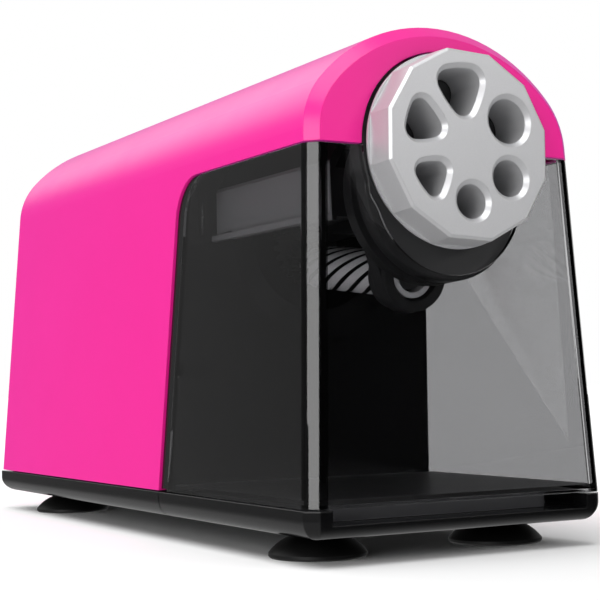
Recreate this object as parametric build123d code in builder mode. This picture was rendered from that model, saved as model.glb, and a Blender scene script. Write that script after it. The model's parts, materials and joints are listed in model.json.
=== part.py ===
"""Electric pencil sharpener: arched housing, see-through bin, hole dial and helical cutter drive."""
import os
from math import atan, cos, degrees, pi, radians, sin, sqrt, tan

from build123d import *

os.makedirs("parts", exist_ok=True)

# Body, in millimetres and degrees: X across, front towards -Y, Z up from the table
body_width = 86.4
body_length = 220.0
roof_height = 129.4
seam_height = 13.2
side_draft = 2.75
front_rake = 2.8
rear_rake = 4.95
arch_radius = 45.2
shoulder_radius = 19.8
corner_chamfer = 2.9
rear_edge_radius = 2.0
housing_wall = 2.5
seam_gap = 0.4
seat_gap = 0.3
fit_gap = 0.05
overrun = 20.0

# Bay under the roof, and the bin that slides out of it
eave_height = 98.5
bay_depth = 83.3
bay_lean = 4.5
bay_radius = 12.0
bin_wall = 2.0
bin_front_wall = 1.4
bin_floor = 1.0
bin_travel_rib = (7.0, 4.0, 3.6)
bin_rear_gap = 5.2
notch_gap = 1.0
apron_inset = 6.4

# Base mouldings and the platform under the bin
base_bottom = 6.35
base_round_share = 1.58
base_floor = 3.0
lip_height = 9.7
rim_width = 2.4
platform_height = 14.1
platform_inset = 10.9
platform_setback = 9.0
platform_corner = 3.0
platform_edge = 1.5

# Suction feet
foot_radius = 12.15
foot_neck_radius = 5.2
foot_stud_radius = 3.2
foot_stud_length = 2.6
foot_lip = 1.1
foot_hollow = 1.4
foot_inset = 16.4
front_foot_depth = 25.0
rear_foot_inset = 27.0

# Screw posts between the rear base and the housing
post_radius = 3.6
post_inset = 6.2
post_seat = 20.0
post_length = 40.0
front_post_gap = 12.0
rear_post_inset = 14.0
screw_radius = 1.5
screw_head_radius = 2.8
screw_head = 1.8

# Selector dial, its core and the collar behind it
dial_height = 97.95
dial_corner_radius = 23.7
dial_rim_radius = 24.2
dial_front = 9.4
dial_rim = 1.0
dial_rim_width = 0.7
dial_bevel = 0.6
dial_face = 1.8
dial_skirt = 2.6
dial_rest_turn = -2.8
core_reach = 3.6
hole_pitch_radius = 13.7
hole_chamfer = 1.1
round_holes = (11.1, 9.1, 8.4)
round_hole_angles = (31.7, -30.5, -87.2)
lobed_holes = (8.4, 9.7, 11.6)
lobed_hole_angles = (219.8, 161.8, 99.3)
dial_gap = 0.6
hub_radius = 5.0
clip_radius = 6.8
clip_thickness = 0.7
collar_radius = 22.9
collar_waist = 21.2
collar_drop = 8.7
collar_front = 3.0
collar_steps = (3.4, 3.2, 3.4)
collar_edge = 0.6

# Pencil guide, start lever and its switch
guide_radius = 8.0
guide_bore = 6.3
guide_start = 4.2
lever_reach = 5.4
lever_pivot = 12.0
lever_tail = 17.5
lever_depth = 9.0
lever_bar = 2.0
lever_height = 2.6
lever_pin_radius = 1.0
lever_pin_length = 10.0
lever_pocket = 19.4
lever_room = 3.0
start_switch_width = 4.6

# Hood over the cutter
hood_half = 27.0
hood_low = 83.0
hood_eave = 95.0
hood_top = 112.0
hood_top_half = 17.0
hood_wall = 2.0
hood_lip = 1.6
hood_plate = 2.0

# Bulkhead and the ring gear's round case
bulkhead_setback = 8.3
bulkhead_wall = 3.0
bulkhead_inset = 2.8
frame_inset = 0.7
frame_wall = 2.7
boss_radius = 26.8
boss_height = 12.5
boss_recess = 24.6
boss_recess_depth = 3.0
flange_depth = 4.6
flange_height = 3.0
rib_radius = 1.6
rib_inset = 8.3

# Planet drive of the cutter
gear_module_fine = 0.9
ring_teeth = 26
pinion_teeth = 13
ring_radius = 18.5
ring_inset = 3.5
ring_width = 5.0
pinion_width = 4.4
cup_depth = 17.3
cup_offset = 14.6
cup_radius = 9.2
cup_bore = 6.6
cup_length = 8.0
cup_pocket = 5.0
cutter_radius = 6.0
cutter_start = 9.0
cutter_gap = 3.25
cutter_flutes = 12
cutter_flute_depth = 1.1
cutter_twist = 170.0
axle_radius = 1.5
bush_ring_radius = 5.9
bush_ring_bore = 4.5
axle_clip_radius = 3.8
axle_clip_length = 2.4
axle_clip_slot = 2.4
axle_inset = 0.6

# Carrier that swings the cutter round the pencil
nose_ring_radius = 13.0
nose_ring_bore = 7.0
nose_ring_depth = 19.0
nose_ring_width = 4.0
spine_radius = 12.5
spine_bore = 8.6
spine_low = 2.0
spine_gap = 0.5
hub_core_radius = 10.2
hub_core_low = 2.2
hub_disc_radius = 10.8
hub_gap = 1.8
hub_disc_width = 4.2
shaft_radius = 4.0
hub_play = 0.5

# Gear train behind the bulkhead
modules_across = 86.4
carrier_teeth = 54
idler_pinion_teeth = 15
idler_teeth = 45
motor_teeth = 12
gear_backlash = 0.3
gear_addendum = 0.85
gear_dedendum = 1.1
gear_tip_flank = 20.0
gear_root_flank = 14.0
bush_radius = 7.0
bush_length = 8.0
carrier_gear_gap = 2.0
carrier_gear_width = 7.0
gear_rim = 4.5
idler_gear_gap = 1.5
idler_gear_width = 6.0
idler_axle_radius = 2.5
idler_hole_pitch_radius = 13.2
idler_hole_radius = 3.6
idler_angle = -68.0
motor_angle = 197.0
plate_gap = 3.5
plate_thickness = 2.0
plate_inset = 6.7
plate_top = 9.0
plate_low = -60.0
pillar_radius = 3.0
pillar_boss_radius = 3.8
pillar_insets = (3.9, 3.9, 3.5, 2.5)
pillar_heights = (4.0, 4.0, -50.0, -56.0)
rear_bush_radius = 6.0
rear_bush_length = 3.5

# Motor
motor_room = 0.75
motor_rear_room = 64.0
motor_bell_length = 6.0
motor_bell_step = 2.0
motor_nose_radius = 6.0
motor_shaft_radius = 1.6
motor_shaft_tail = 9.0
motor_screw_inset = 5.5
motor_pinion_overlap = 0.7
motor_edge = 2.0
fan_step = 4.0
fan_width = 5.0
fan_blades = 8
fan_hub_radius = 4.0

# Interlock, circuit board and cord gland
button_radius = 1.8
button_inset = 7.6
button_height = 46.0
button_length = 9.0
switch_size = (8.0, 12.0, 14.0)
switch_bore_depth = 9.0
board_inset = 12.2
board_width = 34.0
board_thickness = 1.6
board_height = 15.5
board_rear_inset = 30.0
board_post_radius = 2.6
board_post_inset = 4.5
relay_size = (19.0, 15.0, 15.0)
capacitor_radius = 5.0
capacitor_height = 13.0
terminal_size = (16.0, 8.0, 9.0)
gland_radius = 4.4
gland_flange_radius = 6.6
gland_flange = 1.6
gland_bore = 2.8
gland_spot = (-22.0, 26.0)
vent_count = 7
vent_size = (3.0, 26.0)
vent_pitch = 7.0
vent_gap = 20.0

# The frame's origin lies on the table under the middle of the whole object: the dial stands proud
# of the front of the base, and the cord gland of its rear
front_slope = tan(radians(front_rake))
rear_slope = tan(radians(rear_rake))
dial_tip = dial_front * cos(radians(front_rake)) + dial_corner_radius * sin(radians(front_rake))
dial_proud = dial_tip - front_slope * (dial_height - seam_height)
gland_tip = gland_flange * cos(radians(rear_rake)) + gland_flange_radius * sin(radians(rear_rake))
gland_proud = gland_tip - rear_slope * (gland_spot[1] - seam_height)
front_y = -(body_length + gland_proud - dial_proud) / 2
rear_y = front_y + body_length

# Places worked out from the sizes above
arch_centre = roof_height - arch_radius
draft = tan(radians(side_draft))
base_round = base_round_share * corner_chamfer
floor_low = platform_height + seat_gap
floor_top = floor_low + bin_floor
rim_seat = seam_height + seam_gap
collar_back = collar_front + sum(collar_steps)
seam_y = front_y + bay_depth
platform_width = body_width - 2 * platform_inset
foot_spread = body_width / 2 - foot_inset
rear_foot_depth = body_length - rear_foot_inset
board_size = (body_width - 2 * board_inset, board_width, board_thickness)
board_depth = body_length - board_rear_inset

# Depths behind the front face, from the bulkhead back to the motor. The drive is stacked on the bulkhead.
bulkhead_depth = bay_depth - bulkhead_setback
bulkhead_y = front_y + bulkhead_depth
boss_front = bulkhead_depth - boss_height
ring_depth = boss_front + ring_inset
spine_end = boss_front - spine_gap
hub_disc_depth = ring_depth + ring_width + hub_gap
shaft_seat = hub_disc_depth + hub_disc_width / 2
bush_depth = hub_disc_depth + hub_disc_width + hub_play
pillar_boss_end = bush_depth + bush_length + hub_play
carrier_gear_depth = pillar_boss_end + carrier_gear_gap
idler_gear_depth = carrier_gear_depth + carrier_gear_width + idler_gear_gap
plate_depth = idler_gear_depth + idler_gear_width + plate_gap
motor_length = body_length - plate_depth - plate_thickness - motor_rear_room
vent_depth = plate_depth + plate_thickness + vent_gap
front_post_depth = plate_depth + front_post_gap
rear_post_depth = body_length - rear_post_inset


def half_width(z):
    """Half the body's width at height z."""
    return body_width / 2 - draft * (z - seam_height)


def front_at(z):
    """Front face's y at height z."""
    return front_y + front_slope * (z - seam_height)


def rear_at(z):
    """Rear face's y at height z."""
    return rear_y - rear_slope * (z - seam_height)


def seam_at(z):
    """The bay's rear edge, y at height z."""
    return seam_y - tan(radians(bay_lean)) * (z - seam_height)


def facing(angle):
    """Forward direction, tipped up by an angle in degrees."""
    return (0, -cos(radians(angle)), sin(radians(angle)))


# The nose plane is the housing's front face, with its origin at the dial's centre.
# The pencil's axis is square to it, through the lowest hole of the dial.
nose = Plane((0, front_at(dial_height), dial_height), x_dir=(1, 0, 0), z_dir=facing(front_rake))
nose_axis = Axis(nose.origin, nose.z_dir)
rear_facing = (0, cos(radians(rear_rake)), sin(radians(rear_rake)))
tail = Plane((0, rear_y, seam_height), x_dir=(1, 0, 0), z_dir=rear_facing)
gland_y = rear_at(gland_spot[1])
gland_plane = Plane((gland_spot[0], gland_y, gland_spot[1]), x_dir=(1, 0, 0), z_dir=rear_facing)
pencil = Plane(nose.from_local_coords((0, -hole_pitch_radius, 0)), x_dir=(1, 0, 0), z_dir=nose.z_dir)
lever_centre = pencil.from_local_coords((-lever_pivot, 0, -lever_depth))
lever_plane = Plane(lever_centre, x_dir=(1, 0, 0), z_dir=pencil.y_dir)

# The cutter's axis closes on the pencil's axis towards the rear, where its pinion meets the ring gear
ring_pitch = gear_module_fine * ring_teeth / 2
pinion_pitch = gear_module_fine * pinion_teeth / 2
pinion_offset = ring_pitch - pinion_pitch
pinion_depth = ring_depth + ring_width / 2
cutter_slope = (cup_offset - pinion_offset) / (pinion_depth - cup_depth)
cutter_lean = front_rake - degrees(atan(cutter_slope))
cutter_plane = Plane(
    pencil.from_local_coords((0, -cup_offset, -cup_depth)), x_dir=(1, 0, 0), z_dir=facing(cutter_lean)
)
pinion_reach = sqrt((cup_offset - pinion_offset) ** 2 + (pinion_depth - cup_depth) ** 2)
cutter_length = pinion_reach - pinion_width / 2 - cutter_gap - cutter_start

# Gear centres, measured across the pencil's axis. The gear train grows with the body's width.
gear_module = body_width / modules_across
idler_distance = gear_module * (carrier_teeth + idler_pinion_teeth) / 2
motor_distance = gear_module * (idler_teeth + motor_teeth) / 2
idler_spot = (idler_distance * cos(radians(idler_angle)), idler_distance * sin(radians(idler_angle)))
motor_spot = (
    idler_spot[0] + motor_distance * cos(radians(motor_angle)),
    idler_spot[1] + motor_distance * sin(radians(motor_angle)),
)

# The motor fills the room beside the housing's screw posts, and the plate's pillars stand at its corners
post_inner_side = half_width(post_seat) - post_inset - post_radius
motor_radius = post_inner_side - motor_room + motor_spot[0]
motor_bell_radius = motor_radius - motor_bell_step
motor_screw_pitch_radius = motor_radius - motor_screw_inset
fan_radius = motor_radius - fan_step
plate_half = body_width / 2 - plate_inset
pillar_reaches = [plate_half - inset for inset in pillar_insets]
pillar_spots = [(side * x, y) for side, x, y in zip((-1, 1, -1, 1), pillar_reaches, pillar_heights)]
button_spot = (button_inset - half_width(button_height), button_height)
rib_spread = half_width(hood_eave) - rib_inset


def station(depth, spot=(0, 0)):
    """Plane square to the pencil's axis, at a depth behind the housing's front face."""
    return Plane(pencil.from_local_coords((spot[0], spot[1], -depth)), x_dir=(1, 0, 0), z_dir=pencil.z_dir)


def along_cutter(reach):
    """Plane square to the cutter's axis, at a distance behind the carrier's cup."""
    return cutter_plane.offset(-reach)


def finish(builder, name):
    """Label a finished piece and write it."""
    builder.part.label = name
    export_step(builder.part, f"parts/{name}.step")


def arch_section(y, inset, low):
    """Arched cross section of the body at depth y, drawn inset from the outer skin."""
    radius = arch_radius - inset
    reach = half_width(arch_centre) - inset
    rise = (reach * draft + sqrt(radius**2 * (1 + draft**2) - reach**2)) / (1 + draft**2)
    shoulder = (reach - draft * rise, arch_centre + rise)
    foot = (half_width(low) - inset, low)
    with BuildSketch(Plane.XZ.offset(-y)) as section:
        with BuildLine():
            Polyline((-shoulder[0], shoulder[1]), (-foot[0], low), foot, shoulder)
            ThreePointArc(shoulder, (0, roof_height - inset), (-shoulder[0], shoulder[1]))
        make_face()
        fillet(section.vertices().group_by(Axis.Y)[-1], shoulder_radius - inset)
    return section.sketch


def body_block(inset, front_inset, low):
    """The body's arched block with its raked ends and chamfered front, drawn inset all round."""
    with BuildPart() as block:
        extrude(arch_section(front_y - overrun, inset, low), amount=-(body_length + 2 * overrun))
        split(bisect_by=nose.offset(-front_inset), keep=Keep.BOTTOM)
        split(bisect_by=tail.offset(-inset), keep=Keep.BOTTOM)
        chamfer(block.faces().sort_by(Axis.Y)[0].edges().sort_by(Axis.Z)[1:], corner_chamfer)
    return block.part


def bin_bay(gap):
    """Room under the roof that the bin slides out of, drawn smaller by a gap."""
    top = eave_height - gap
    corner = (seam_at(top) - gap, top)
    with BuildPart() as bay:
        with BuildSketch(Plane.YZ) as side:
            with BuildLine():
                Polyline(
                    (front_y - overrun, 0),
                    (seam_at(0) - gap, 0),
                    corner,
                    (front_y - overrun, top),
                    close=True,
                )
            make_face()
            fillet(side.vertices().sort_by_distance(corner)[0], bay_radius - gap)
        extrude(amount=body_width, both=True)
    return bay.part


def gear_face(plane, teeth, module, first, ease):
    """Straight-flanked gear outline, with a tooth at the angle first and an eased tooth width."""
    pitch = module * teeth / 2
    tip = pitch + gear_addendum * module
    root = pitch - gear_dedendum * module
    heel = root - gear_addendum * module / 2
    width = pi * module / 2 - ease
    tip_half = width / 2 - gear_addendum * module * tan(radians(gear_tip_flank))
    root_half = width / 2 + gear_dedendum * module * tan(radians(gear_root_flank))
    with BuildSketch(plane) as outline:
        Circle(root)
        with PolarLocations(0, teeth, start_angle=first):
            Polygon((heel, -root_half), (tip, -tip_half), (tip, tip_half), (heel, root_half), align=None)
    return outline.sketch


def lobed_hole(size):
    """Three-cornered pencil hole with bowed sides, its point towards -Y of the sketch."""
    corner = 0.7 * size
    bow = 0.44 * size
    points = [(corner * sin(radians(a)), -corner * cos(radians(a))) for a in (0, 120, 240)]
    bows = [(bow * sin(radians(a)), -bow * cos(radians(a))) for a in (60, 180, 300)]
    with BuildSketch() as hole:
        with BuildLine():
            for k in range(3):
                ThreePointArc(points[k], bows[k], points[(k + 1) % 3])
        make_face()
        fillet(hole.vertices(), 0.27 * size)
    return hole.sketch


def dial_holes(plane):
    """The dial's six holes: three round ones on the right and three lobed ones on the left."""
    with BuildSketch(plane) as holes:
        for size, place in zip(round_holes, round_hole_angles):
            with PolarLocations(hole_pitch_radius, 1, start_angle=place + dial_rest_turn):
                Circle(size / 2)
        for size, place in zip(lobed_holes, lobed_hole_angles):
            angle = place + dial_rest_turn
            with PolarLocations(hole_pitch_radius, 1, start_angle=angle, rotate=False):
                add(lobed_hole(size), rotation=angle - 90)
    return holes.sketch


def bay_frame():
    """Frame that fills the strip between the bin's rear edge and the housing, a little below their skin."""
    with BuildPart() as strip:
        add(body_block(frame_inset, frame_inset, platform_height))
        add(body_block(frame_inset + frame_wall, frame_inset + frame_wall, 0), mode=Mode.SUBTRACT)
        add(bin_bay(seam_gap), mode=Mode.INTERSECT)
        add(bin_bay(0).translate((0, -bin_rear_gap, 0)), mode=Mode.SUBTRACT)
    return strip.part


# Arched housing: a moulded shell, open below, with a roof reaching forward over the bin
with BuildPart() as upper_housing:
    add(body_block(0, 0, rim_seat))
    rear_face = upper_housing.faces().sort_by(Axis.Y)[-1]
    fillet(rear_face.edges().sort_by(Axis.Z)[1:], rear_edge_radius)
    add(body_block(housing_wall, housing_wall, rim_seat), mode=Mode.SUBTRACT)
    add(bin_bay(0), mode=Mode.SUBTRACT)
    with BuildSketch(nose):
        Circle(dial_rim_radius + dial_gap)
    extrude(amount=2 * housing_wall, both=True, mode=Mode.SUBTRACT)
    for depth in (front_post_depth, rear_post_depth):
        for side in (-1, 1):
            post_x = half_width(post_seat) - post_inset
            web_x = half_width(post_seat + post_length) - housing_wall / 3
            with BuildSketch(Plane.XY.offset(post_seat)):
                with Locations((side * post_x, front_y + depth)):
                    Circle(post_radius)
                with Locations((side * (post_x + web_x) / 2, front_y + depth)):
                    Rectangle(web_x - post_x, post_radius)
            extrude(amount=post_length)
            with BuildSketch(Plane.XY.offset(post_seat)):
                with Locations((side * post_x, front_y + depth)):
                    Circle(screw_radius)
            extrude(amount=post_length / 2, mode=Mode.SUBTRACT)
    with BuildSketch(gland_plane):
        Circle(gland_radius + fit_gap)
    extrude(amount=2 * housing_wall, both=True, mode=Mode.SUBTRACT)
finish(upper_housing, "upper_housing")

# Front base: a shallow tray with side rims, a low front lip and a raised platform
with BuildPart() as front_base:
    with BuildSketch(Plane.XY.offset(base_bottom)):
        with BuildLine():
            Polyline(
                (-body_width / 2, seam_y - seam_gap),
                (-body_width / 2, front_y + corner_chamfer),
                (-body_width / 2 + corner_chamfer, front_y),
                (body_width / 2 - corner_chamfer, front_y),
                (body_width / 2, front_y + corner_chamfer),
                (body_width / 2, seam_y - seam_gap),
                close=True,
            )
        make_face()
    extrude(amount=seam_height - base_bottom)
    underside = front_base.faces().sort_by(Axis.Z)[0]
    fillet(underside.edges().sort_by(Axis.Y)[:-1], base_round)
    with BuildSketch(Plane.XY.offset(lip_height)):
        with Locations((0, seam_y)):
            tray_depth = bay_depth - corner_chamfer - rim_width
            Rectangle(body_width - 2 * rim_width, tray_depth, align=(Align.CENTER, Align.MAX))
        with Locations((0, front_y)):
            Rectangle(body_width - 2 * apron_inset + 2 * seat_gap, bay_depth)
    extrude(amount=seam_height, mode=Mode.SUBTRACT)
    with BuildSketch(Plane.XY.offset(lip_height)) as plateau:
        with Locations((0, front_y + platform_setback)):
            platform_depth = bay_depth - seam_gap - platform_setback
            Rectangle(platform_width, platform_depth, align=(Align.CENTER, Align.MIN))
        fillet(plateau.vertices().group_by(Axis.Y)[0], platform_corner)
    extrude(amount=platform_height - lip_height)
    top_face = front_base.faces().sort_by(Axis.Z)[-1]
    fillet(top_face.edges().sort_by(Axis.Y)[:-1], platform_edge)
    for side in (-1, 1):
        with BuildSketch(Plane.XY.offset(base_bottom)):
            with Locations((side * foot_spread, front_y + front_foot_depth)):
                Circle(foot_stud_radius + fit_gap)
        extrude(amount=foot_stud_length + seat_gap, mode=Mode.SUBTRACT)
        with BuildSketch(Plane.XY.offset(platform_height)):
            with Locations((side * foot_spread, bulkhead_y + bulkhead_wall + flange_depth / 2)):
                Circle(screw_radius + fit_gap)
        extrude(amount=-(platform_height - lip_height), mode=Mode.SUBTRACT)
finish(front_base, "front_base")

# Rear base: a tray that closes the housing, with a tongue inside its skin, screw posts and vents
with BuildPart() as rear_base:
    with BuildSketch(Plane.XY.offset(base_bottom)):
        with Locations((0, seam_y)):
            Rectangle(body_width, rear_y - seam_y, align=(Align.CENTER, Align.MIN))
    extrude(amount=seam_height - base_bottom)
    underside = rear_base.faces().sort_by(Axis.Z)[0]
    fillet(underside.edges().sort_by(Axis.Y)[1:], base_round)
    with BuildSketch(Plane.XY.offset(seam_height)):
        with Locations((0, seam_y + seam_gap)):
            tongue_width = body_width - 2 * (housing_wall + seat_gap + 0.4)
            tongue_depth = rear_y - seam_y - seam_gap - housing_wall - seat_gap - 0.6
            Rectangle(tongue_width, tongue_depth, align=(Align.CENTER, Align.MIN))
    extrude(amount=seam_gap + 2.0)
    with BuildSketch(Plane.XY.offset(base_bottom + base_floor)):
        with Locations((0, seam_y + rim_width)):
            tray_width = body_width - 2 * (housing_wall + seat_gap + rim_width)
            tray_depth = rear_y - seam_y - 2 * rim_width - housing_wall - seat_gap
            Rectangle(tray_width, tray_depth, align=(Align.CENTER, Align.MIN))
    extrude(amount=seam_height, mode=Mode.SUBTRACT)
    for depth in (front_post_depth, rear_post_depth):
        for side in (-1, 1):
            spot = (side * (half_width(post_seat) - post_inset), front_y + depth)
            with BuildSketch(Plane.XY.offset(base_bottom + base_floor)):
                with Locations(spot):
                    Circle(post_radius)
            extrude(amount=post_seat - base_bottom - base_floor)
            with BuildSketch(Plane.XY.offset(base_bottom)):
                with Locations(spot):
                    Circle(screw_radius + fit_gap)
            extrude(amount=post_seat, mode=Mode.SUBTRACT)
            with BuildSketch(Plane.XY.offset(base_bottom)):
                with Locations(spot):
                    Circle(screw_head_radius + fit_gap)
            extrude(amount=screw_head + seat_gap, mode=Mode.SUBTRACT)
    for side in (-1, 1):
        with BuildSketch(Plane.XY.offset(base_bottom)):
            with Locations((side * foot_spread, front_y + rear_foot_depth)):
                Circle(foot_stud_radius + fit_gap)
        extrude(amount=foot_stud_length + seat_gap, mode=Mode.SUBTRACT)
    with BuildSketch(Plane.XY.offset(base_bottom)):
        with Locations((0, front_y + vent_depth)):
            with GridLocations(vent_pitch, 1, vent_count, 1):
                SlotOverall(vent_size[1], vent_size[0], rotation=90)
    extrude(amount=base_floor, mode=Mode.SUBTRACT)
    with BuildSketch(Plane.XY.offset(base_bottom + base_floor)):
        with Locations((0, front_y + board_depth)):
            post_grid = [size - 2 * board_post_inset for size in board_size[:2]]
            with GridLocations(post_grid[0], post_grid[1], 2, 2):
                Circle(board_post_radius)
    extrude(amount=board_height - base_bottom - base_floor)
finish(rear_base, "rear_base")

# Suction feet: rubber cups with a hollow underside and a stud pressed into the base
for foot_name, side, depth in (
    ("foot_front_left", -1, front_foot_depth),
    ("foot_front_right", 1, front_foot_depth),
    ("foot_rear_left", -1, rear_foot_depth),
    ("foot_rear_right", 1, rear_foot_depth),
):
    foot_centre = (side * foot_spread, front_y + depth, 0)
    with BuildPart() as foot:
        with BuildSketch(Plane(foot_centre, x_dir=(1, 0, 0), z_dir=(0, -1, 0))):
            with BuildLine():
                rim_in = (foot_radius - 1.6, 0)
                rim_out = (foot_radius - 0.4, 0)
                shoulder = (foot_neck_radius, base_bottom - 0.9)
                ThreePointArc((0, foot_hollow), (foot_radius / 2, foot_hollow * 0.8), rim_in)
                Polyline(rim_in, rim_out, (foot_radius, 0.4), (foot_radius, foot_lip))
                ThreePointArc((foot_radius, foot_lip), (foot_radius * 0.76, base_bottom * 0.6), shoulder)
                Polyline(
                    shoulder,
                    (foot_neck_radius, base_bottom),
                    (foot_stud_radius, base_bottom),
                    (foot_stud_radius, base_bottom + foot_stud_length),
                    (0, base_bottom + foot_stud_length),
                    (0, foot_hollow),
                )
            make_face()
        revolve(axis=Axis(foot_centre, (0, 0, 1)))
    finish(foot, foot_name)

# Shavings bin: one clear moulding with chamfered front corners, a notch round the collar and an open rear
with BuildPart() as receptacle:
    add(body_block(0, 0, rim_seat))
    add(bin_bay(seam_gap).translate((0, -bin_rear_gap, 0)), mode=Mode.INTERSECT)
    add(body_block(bin_wall, bin_front_wall, floor_top), mode=Mode.SUBTRACT)
    with BuildSketch(Plane.XY.offset(rim_seat)):
        with Locations((0, front_at(floor_low) + bin_front_wall)):
            Rectangle(2 * (half_width(floor_low) - bin_wall), bay_depth, align=(Align.CENTER, Align.MIN))
    extrude(amount=floor_low - rim_seat, mode=Mode.SUBTRACT)
    with BuildSketch(Plane.XY.offset(rim_seat)):
        with Locations((0, bulkhead_y - seam_gap)):
            Rectangle(2 * (half_width(floor_top) - bin_wall), bay_depth, align=(Align.CENTER, Align.MIN))
    extrude(amount=floor_top - rim_seat, mode=Mode.SUBTRACT)
    with BuildSketch(nose):
        with Locations((0, -collar_drop)):
            Circle(collar_radius + notch_gap)
        Circle(dial_rim_radius + notch_gap)
        Rectangle(2 * (dial_rim_radius + notch_gap), dial_rim_radius, align=(Align.CENTER, Align.MIN))
    extrude(amount=2 * corner_chamfer, both=True, mode=Mode.SUBTRACT)
    with BuildSketch(Plane.XY.offset(button_spot[1] - bin_travel_rib[2] / 2)):
        with Locations((bin_wall - half_width(button_height) - 0.4, bulkhead_y - seat_gap)):
            Rectangle(bin_travel_rib[0], bin_travel_rib[1], align=(Align.MIN, Align.MAX))
    extrude(amount=bin_travel_rib[2])
finish(receptacle, "receptacle")

# Selector dial: a silver cap with twelve flats and six chamfered holes
with BuildPart() as selector_dial:
    with BuildSketch(nose.offset(dial_rim)):
        Circle(dial_rim_radius)
    extrude(amount=dial_rim_width)
    with BuildSketch(nose.offset(dial_front)):
        RegularPolygon(dial_corner_radius, 12, rotation=15 + dial_rest_turn)
    flank_run = dial_front - dial_rim - dial_rim_width
    flank_growth = (dial_rim_radius - dial_corner_radius) * cos(radians(15))
    extrude(amount=-flank_run, taper=-degrees(atan(flank_growth / flank_run)))
    with BuildSketch(nose.offset(dial_rim)):
        Circle(dial_rim_radius - dial_skirt)
    extrude(amount=dial_front - dial_rim - dial_face, mode=Mode.SUBTRACT)
    extrude(dial_holes(nose.offset(dial_front)), amount=-2 * dial_face, mode=Mode.SUBTRACT)
    dial_front_face = selector_dial.faces().sort_by(nose_axis)[-1]
    chamfer([edge for wire in dial_front_face.inner_wires() for edge in wire.edges()], hole_chamfer)
    dial_front_face = selector_dial.faces().sort_by(nose_axis)[-1]
    chamfer(dial_front_face.outer_wire().edges(), dial_bevel)
finish(selector_dial, "selector_dial")

# Dial core: a thick disc that carries the bores, with a hub that turns in the collar
clip_start = collar_back + seat_gap
core_radius = dial_rim_radius - dial_skirt - fit_gap
with BuildPart() as dial_insert:
    with BuildSketch(nose.offset(-core_reach)):
        Circle(core_radius)
    extrude(amount=dial_front - dial_face + core_reach)
    extrude(dial_holes(nose.offset(dial_front)), amount=-2 * dial_front, mode=Mode.SUBTRACT)
    with BuildSketch(nose.offset(dial_rim + seat_gap)):
        Circle(hub_radius)
    extrude(amount=-(dial_rim + 2 * seat_gap + collar_back + 2 * clip_thickness))
    with BuildSketch(nose.offset(-clip_start)):
        Circle(hub_radius + 1)
        Circle(hub_radius - 1, mode=Mode.SUBTRACT)
    extrude(amount=-clip_thickness, mode=Mode.SUBTRACT)
finish(dial_insert, "dial_insert")

with BuildPart() as dial_clip:
    with BuildSketch(nose.offset(-clip_start)):
        Circle(clip_radius)
        Circle(hub_radius - 1 + fit_gap, mode=Mode.SUBTRACT)
        Rectangle(2 * (hub_radius - 1), clip_radius, align=(Align.CENTER, Align.MIN), mode=Mode.SUBTRACT)
    extrude(amount=-clip_thickness)
finish(dial_clip, "dial_clip")

# Collar: a stepped black drum behind the dial, with a disc that closes the housing's cut-out,
# the hub's bearing, the pencil bore and the lever's slot
with BuildPart() as dial_collar:
    step_depth = collar_front
    for step, radius in zip(collar_steps, (collar_radius, collar_waist, collar_radius)):
        with BuildSketch(nose.offset(-step_depth)):
            with Locations((0, -collar_drop)):
                Circle(radius)
        extrude(amount=-step)
        step_depth += step
    with BuildSketch(nose.offset(-collar_front)):
        Circle(dial_rim_radius)
    extrude(amount=-collar_steps[0])
    with BuildSketch(nose.offset(-collar_front)):
        Circle(core_radius + seat_gap)
    extrude(amount=collar_front - core_reach - seat_gap, mode=Mode.SUBTRACT)
    with BuildSketch(nose):
        Circle(hub_radius + fit_gap)
        with Locations((0, -hole_pitch_radius)):
            Circle(guide_radius + fit_gap)
    extrude(amount=-collar_back, mode=Mode.SUBTRACT)
    with BuildSketch(station(collar_back)):
        with Locations((-(lever_pocket + guide_bore) / 2, 0)):
            Rectangle(lever_pocket - guide_bore, lever_height + 2 * seat_gap)
    extrude(amount=collar_back - lever_depth + lever_room, mode=Mode.SUBTRACT)
    with BuildSketch(lever_plane):
        Circle(lever_pin_radius + fit_gap)
    extrude(amount=lever_pin_length / 2 + seat_gap, both=True, mode=Mode.SUBTRACT)
    fillet(dial_collar.edges().filter_by(GeomType.CIRCLE).sort_by(Axis.Y)[0:1], collar_edge)
finish(dial_collar, "dial_collar")

with BuildPart() as pencil_guide:
    with BuildSketch(station(guide_start)):
        Circle(guide_radius)
        Circle(guide_bore, mode=Mode.SUBTRACT)
    extrude(amount=-(collar_back - guide_start))
    with BuildSketch(station(collar_back)):
        with Locations((-guide_radius, 0)):
            Rectangle(2 * guide_radius - guide_bore, lever_height + 4 * seat_gap)
    extrude(amount=collar_back - lever_depth + lever_room, mode=Mode.SUBTRACT)
finish(pencil_guide, "pencil_guide")

# Start lever: a small rocker that the pencil tips, on a pin across the collar's slot
with BuildPart() as start_lever:
    with BuildSketch(lever_plane):
        with Locations((lever_pivot - (lever_tail + lever_reach) / 2, 0)):
            SlotOverall(lever_tail - lever_reach, lever_bar)
        Circle(lever_bar)
        Circle(lever_pin_radius + fit_gap, mode=Mode.SUBTRACT)
    extrude(amount=lever_height / 2, both=True)
finish(start_lever, "start_lever")

with BuildPart() as lever_pin:
    with BuildSketch(lever_plane):
        Circle(lever_pin_radius)
    extrude(amount=lever_pin_length / 2, both=True)
finish(lever_pin, "lever_pin")

with BuildPart() as start_switch:
    with BuildSketch(station(collar_back)):
        with Locations((seat_gap - lever_pocket, 0)):
            Rectangle(start_switch_width, lever_height, align=(Align.MIN, Align.CENTER))
    extrude(amount=collar_back - lever_depth - lever_bar / 2 - seat_gap)
finish(start_switch, "start_switch")

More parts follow.
